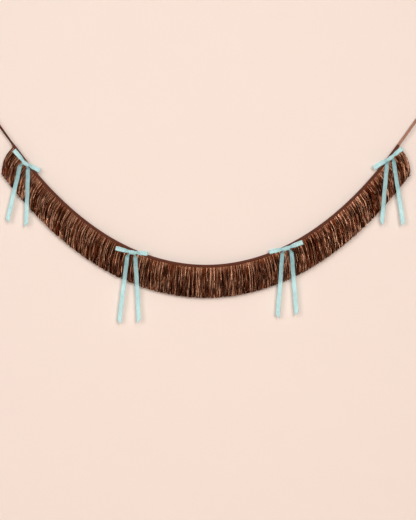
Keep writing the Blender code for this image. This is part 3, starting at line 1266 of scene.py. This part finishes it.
@dataclass(frozen=True)
class Wrap:
    """One turn of ribbon round a knot: width, lift and cloth in metres, shares of the knot's own sizes."""

    name: str
    place_share: float
    width: float
    slant_share: float
    girth_share: float
    pinch_share: float
    lift: float
    rolled_share: float = 0.06
    pleat_share: float = 0.04
    creases: int = 3
    rows: int = 56
    columns: int = 16
    cloth: float = BowSizes.cloth


WRAPS = (
    Wrap("packed_knot", 0.0, 0.033, 0.0, 0.86, 0.0, 0.0, 0.45, 0.05, 5, 40, 26, 0.0),
    Wrap("left_wrap", -0.30, 0.0118, -0.05, 0.93, 0.42, 0.0002),
    Wrap("right_wrap", 0.30, 0.0118, 0.05, 0.93, 0.42, 0.0002),
    Wrap("middle_wrap", 0.0, 0.0150, 0.04, 0.98, 0.0, 0.0006),
)


@dataclass
class TiedBow:
    """One bow as it was tied: angles in degrees, rising to the right, and shares of the sizes."""

    finishes: Finishes
    number: int
    place_share: float
    drop_share: float
    knot_tilt: float
    loop_tilts: tuple[float, float]
    loop_shares: tuple[float, float]
    tail_place_shares: tuple[float, float]
    tail_leans: tuple[float, float]
    tail_shares: tuple[float, float]
    sizes: BowSizes = BowSizes()

    @property
    def centre(self) -> Array:
        """The knot's middle, just in front of the tape."""
        y = -SWAG.tape_thickness / 2 - SWAG.clearance - self.sizes.knot[1] / 2
        return SWAG.point(self.place_share * SWAG.half, self.drop_share * SWAG.tape_depth, y)

    @property
    def front(self) -> float:
        """The plane in which the tails hang."""
        return self.centre[1] - self.sizes.knot[1] / 2 - SWAG.clearance - SWAG.ribbon_thickness / 2

    def build(self) -> None:
        """The knot, then each side's loop and tail."""
        knot = self.knot()
        for side in Hand:
            self.loop(side, knot)
            self.tail(side)

    def turned_band(self, wrap: Wrap, chance: Chance) -> Piece:
        """One turn of ribbon round the knot's middle.

        Args:
            wrap: where the turn lies, how tight it is and how finely it is drawn.
            chance: the knot's random source.

        Returns:
            The band, its seam at the back.
        """
        width, deep, high = self.sizes.knot
        crease = wobble(chance, wrap.creases)
        ribbon = min(wrap.width, self.sizes.ribbon_width)
        cut = Cut(ribbon, self.sizes.knot_cut, wrap.rows, wrap.columns, (0.0, 1.0))
        along, across = cut.grid
        turn = math.tau * (along + 0.5)
        forward, rise = (np.sign(wave) * np.abs(wave) ** 0.62 for wave in (np.cos(turn), np.sin(turn)))
        rolled = 1 - wrap.rolled_share * np.abs(2 * across) ** 4
        pleat = wrap.pleat_share * np.sin(math.tau * 2.5 * across + 1.6 * crease(across + 0.5) + 1.3 * rise)
        ridge = 0.6 * wrap.pleat_share * np.sin(math.tau * 1.5 * across - 2.2 * rise + 3.0 * crease(along))
        girth = rolled + pleat + ridge
        gathered = 1 - wrap.pinch_share * smooth(-rise)
        reach = wrap.place_share * width + across * wrap.width * gathered + wrap.slant_share * width * rise
        up = rise * (high / 2 * wrap.girth_share * girth + wrap.lift)
        back = -forward * (deep / 2 * wrap.girth_share * np.minimum(girth, 1.05) + wrap.lift)
        points = set_out(self.centre, heading(math.radians(self.knot_tilt)), reach, up, back)
        return cut.lay(f"bow_{self.number}_{wrap.name}", points, self.finishes.bow, wrap.cloth)

    def knot(self) -> list[Piece]:
        """The knot: its packed middle, and the turns of ribbon wound over it.

        Returns:
            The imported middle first, then the turns.
        """
        chance = np.random.default_rng(SEED * 7 + self.number)
        pieces = [self.turned_band(wrap, chance) for wrap in WRAPS]
        close_band(pieces[0])
        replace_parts(pieces[0], f"bow_{self.number}_knot")
        for piece in pieces:
            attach(piece, "swag")
        return pieces

    def loop(self, side: Hand, knot: list[Piece]) -> None:
        """A flat loop: the front layer, the fold at its far end, then the layer behind it.

        Args:
            side: which side of the knot.
            knot: the pieces of the knot that holds it; not used.
        """
        sizes = self.sizes
        length = sizes.loop_length * self.loop_shares[side.index]
        way = heading(math.radians(self.loop_tilts[side.index]) + (math.pi if side is Hand.LEFT else 0.0))
        chance = np.random.default_rng(SEED * 13 + 2 * self.number + side.index)
        crease, rumple = wobble(chance, 3), wobble(chance, 5)
        skew = -side.value * chance.uniform(0.02, 0.06)

        def middle(along: Array) -> tuple[Array, Array]:
            """The ribbon's own line, blunt at the fold.

            Args:
                along: shares of the ribbon.

            Returns:
                How far out it is, and how far forward.
            """
            out, forward = loop_line(along, length, sizes.loop_spread, sizes.root_gap, 0.7)
            bulge = np.sin(math.pi * np.maximum(out / length - 0.5, 0)) ** 0.9
            return np.where(out < 0.5 * length, out, length * (0.5 + 0.5 * bulge)), forward

        cut = Cut(sizes.ribbon_width, line_length(*middle(np.linspace(0, 1, 300))), 56, 12, (0.0, 1.0))
        along, across = cut.grid
        out, forward = middle(along)
        near = smooth(out / (0.30 * length))
        width = sizes.ribbon_width * (sizes.loop_neck_share + (1 - sizes.loop_neck_share) * near)
        pleat = sizes.loop_pleat * np.sin(math.tau * 2 * across + 2 * crease(across + 0.5))
        pleat = pleat * (1 - smooth(out / (0.62 * length)))
        soft = sizes.loop_rumple * rumple(along * 2 + 0.3 * across) * near
        cup = sizes.loop_cup * (4 * across**2 - 0.4) * np.where(along < 0.5, 1.0, 0.35)
        inner = out - sizes.loop_sunk * (1 - smooth(out / 0.006))
        high = across * width + skew * out * smooth((along - 0.5) * 6)
        root = self.centre + (sizes.knot[0] / 2 + SWAG.clearance) * way
        points = set_out(root, way, inner, high, -(forward + pleat + soft + cup))
        name = f"bow_{self.number}_{side.word}"
        loop = cut.lay(f"{name}_ribbon_loop", points, self.finishes.bow, sizes.cloth)
        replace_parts(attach(loop, "swag"), f"{name}_loop")

    def tail(self, side: Hand) -> None:
        """A tail that leaves the knot gathered, turns face on and hangs, cut slantwise.

        Args:
            side: which side of the knot.
        """
        sizes, index, inward = self.sizes, side.index, -side.value
        length = sizes.tail_length * self.tail_shares[index]
        tilt, lean = math.radians(self.knot_tilt), math.radians(self.tail_leans[index])
        corner = self.centre + side.value * sizes.tail_start[0] * sizes.knot[0] * heading(tilt)
        corner = corner - sizes.tail_start[1] * sizes.knot[2] * heading(tilt + math.pi / 2)
        place = self.centre[0] + self.tail_place_shares[index] * sizes.knot[0]
        top = np.array([place, self.front, corner[2]])
        way = heading(lean - math.pi / 2)
        chance = np.random.default_rng(SEED * 17 + 2 * self.number + index)
        drift, roll, edge = wobble(chance, 2.2), wobble(chance, 2.6), wobble(chance, 6)

        cut = Cut(sizes.ribbon_width, length, 90, 10, (0.0,))
        along, across = cut.grid
        along = along**1.35
        fallen = along * length
        opened = smooth(fallen / (0.85 * sizes.tail_fold))
        width = sizes.ribbon_width * (sizes.tail_neck_share + (1 - sizes.tail_neck_share) * opened)
        offset = across * width
        drop = along * (length + sizes.tail_slant * inward * across)
        turned = 0.75 * inward * np.exp(-(((fallen - 0.010) / 0.007) ** 2)) + 0.16 * roll(along) * opened
        wave = sizes.tail_wave * drift(along) * smooth(fallen / 0.04)
        cup = sizes.tail_cup * (4 * across**2 - 0.5) * opened
        gather = sizes.tail_gather * np.sin(math.tau * 1.5 * across + 1.0) * (1 - opened)
        tucked = sizes.tail_sunk * (1 - smooth(fallen / 0.013))
        stray = sizes.tail_stray * edge(along) * smooth(fallen / 0.05)
        aside = offset * np.cos(turned) + (corner[0] - place) * (1 - opened) + stray
        points = set_out(top, way, drop, aside, offset * np.sin(turned) + wave + cup + gather + tucked)
        body = f"bow_{self.number}_{side.word}_tail"
        tail = cut.lay(f"bow_{self.number}_{side.word}_ribbon_tail", points, self.finishes.tail, sizes.cloth)
        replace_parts(tail, body)
        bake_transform(tail)


def close_band(piece: Piece) -> None:
    """Weld a band's last row to its first, and gather its two open sides shut.

    Args:
        piece: the band.
    """
    form = bmesh.new()
    form.from_mesh(piece.data)
    bmesh.ops.remove_doubles(form, verts=form.verts, dist=0.00002)
    open_edges = [edge for edge in form.edges if edge.is_boundary]
    bmesh.ops.holes_fill(form, edges=open_edges, sides=0)
    bmesh.ops.triangulate(form, faces=[face for face in form.faces if len(face.verts) > 4])
    bmesh.ops.recalc_face_normals(form, faces=form.faces)
    form.to_mesh(piece.data)
    form.free()


# ---- The room ----


@dataclass(frozen=True)
class Lamp:
    """One soft lamp, aimed at the banner's middle."""

    name: str
    place: tuple[float, float, float]
    size: tuple[float, float]
    power: float
    colour: tuple[float, float, float] = (1.0, 1.0, 1.0)
    spread: float = math.pi

    def build(self, aim: Array) -> None:
        """Hang the lamp and turn it to the banner.

        Args:
            aim: the point that it shines at.
        """
        light = bpy.data.lights.new(self.name, "AREA")
        light.shape = "RECTANGLE"
        light.size, light.size_y = self.size
        light.energy = self.power
        light.color = self.colour
        light.spread = self.spread
        lamp = put_in_scene(self.name, light)
        lamp.location = aim + np.array(self.place)
        lamp.rotation_euler = (-Vector(self.place)).to_track_quat("-Z", "Y").to_euler()


LAMPS = (
    Lamp("key", (1.6, -8.3, 1.35), (2.2, 2.2), 298.0, (1.0, 0.985, 0.965)),
    Lamp("fill", (-2.6, -8.4, 1.6), (5.0, 4.0), 319.0),
    Lamp("top", (0.0, -6.0, 4.0), (5.0, 2.0), 35.0),
    Lamp("back_left", (-4.0, 6.5, -0.4), (3.0, 1.0), 12.0, spread=0.6),
    Lamp("back_right", (4.0, 6.5, -0.4), (3.0, 1.0), 9.0, spread=0.6),
)


@dataclass
class Studio:
    """A pale wall close behind the banner, a pale floor, soft lamps and the camera."""

    wall_gap: float = 0.032
    wall_reach: float = 5.0
    floor_drop: float = 1.75
    floor_share: float = 1.1
    view_height: float = 520 * 0.003891
    view_shift: tuple[float, float] = (0.0082, 0.0183)
    distance: float = 6.0
    farthest: float = 100.0
    sky: Colour = (1.0, 0.93, 0.88, 1.0)
    sky_strength: float = 0.09
    seen_sky: Colour = (0.93, 0.76, 0.66, 1.0)
    wall: WallFinish = WallFinish("peach_wall", (0.928, 0.784, 0.704, 1.0))
    floor: WallFinish = WallFinish("peach_floor", (0.64, 0.55, 0.49, 1.0))

    @property
    def aim(self) -> Array:
        """The middle of the photograph."""
        return SWAG.foot + np.array([self.view_shift[0], 0.0, self.view_shift[1]])

    def build(self) -> None:
        """The wall and floor, the lamps, the world and the camera."""
        self.surfaces()
        for lamp in LAMPS:
            lamp.build(self.aim)
        self.world()
        self.camera()

    def surfaces(self) -> None:
        """The wall and the floor, which ends short of the front lamps."""
        x, _, z = self.aim
        reach, gap, low = self.wall_reach, self.wall_gap, z - self.floor_drop
        left, right, high, near = x - reach, x + reach, z + reach, -self.floor_share * reach
        wall = [(left, gap, low), (right, gap, low), (right, gap, high), (left, gap, high)]
        ground = [(left, near, low), (right, near, low), (right, reach, low), (left, reach, low)]
        for name, corners, finish in (("wall", wall, self.wall), ("floor", ground, self.floor)):
            mesh_piece(name, np.array(corners), np.array([[0, 1, 2, 3]]), finish.build())

    def world(self) -> None:
        """A dim even sky for the light, and the wall's own colour where eye and reflections see past it."""
        air = bpy.data.worlds.new("room_air")
        bpy.context.scene.world = air
        air.use_nodes = True
        sheet = NodeSheet(air.node_tree)
        lit = air.node_tree.nodes["Background"]
        sheet.feed(lit, {"Color": self.sky, "Strength": self.sky_strength})
        seen = sheet.add("ShaderNodeBackground", {"Color": self.seen_sky})
        rays = sheet.add("ShaderNodeLightPath").outputs
        mirrored = sheet.math("MAXIMUM", rays["Is Glossy Ray"], rays["Is Transmission Ray"])
        share = sheet.math("MAXIMUM", rays["Is Camera Ray"], mirrored)
        sheet.choose(share, lit, seen, air.node_tree.nodes["World Output"])

    def camera(self) -> None:
        """A long lens straight in front of the wall."""
        data = bpy.data.cameras.new("camera")
        data.lens = data.sensor_width / 2 / (self.view_height / 2 / self.distance)
        data.clip_end = self.farthest
        camera = put_in_scene("camera", data)
        camera.location = self.aim - self.distance * BACKWARD
        camera.rotation_euler = (math.pi / 2, 0.0, 0.0)
        bpy.context.scene.camera = camera
        bpy.context.scene.view_settings.view_transform = "Standard"


@dataclass
class Banner:
    """The whole banner, from the tape out to its bows."""

    finishes: Finishes = field(default_factory=Finishes)
    sections: int = 20

    def bows(self) -> list[TiedBow]:
        """The four bows, left to right, with what the photograph shows of each.

        Returns:
            The bows, not yet built.
        """
        tied = (
            (-0.907, 0.88, -37.0, (-49.7, -26.4), (1.01, 0.94), (-0.51, 0.34), (-12.9, -2.0), (0.93, 0.93)),
            (-0.317, 1.12, -10.0, (-14.6, -4.1), (0.98, 0.86), (-0.49, 0.35), (-7.1, 3.2), (1.09, 1.06)),
            (0.349, 0.92, 16.0, (10.4, 21.9), (1.00, 1.02), (-0.42, 0.55), (-4.3, 4.8), (1.04, 1.02)),
            (0.934, 0.84, 34.0, (29.4, 40.0), (1.15, 0.87), (-0.35, 0.31), (-4.9, 8.7), (0.99, 1.05)),
        )
        return [TiedBow(self.finishes, number, *numbers) for number, numbers in enumerate(tied, 1)]

    def build(self) -> None:
        """Make every piece."""
        header = HeaderTape(self.finishes)
        tape = header.build()
        FoilHead(self.finishes).build()
        combs = [FringeSection(self.finishes, number + 1).build() for number in range(self.sections)]
        for side in Hand:
            HangingEnd(self.finishes, side).build()
        for bow in self.bows():
            bow.build()


def clear_startup() -> None:
    """Take out what the file started with."""
    for obj in STARTUP:
        bpy.data.objects.remove(obj)


def main() -> None:
    """Build the banner and its room."""
    logging.basicConfig(level=logging.INFO, format="%(message)s")
    clear_startup()
    Studio().build()
    Banner().build()


if __name__ == "__main__":
    main()
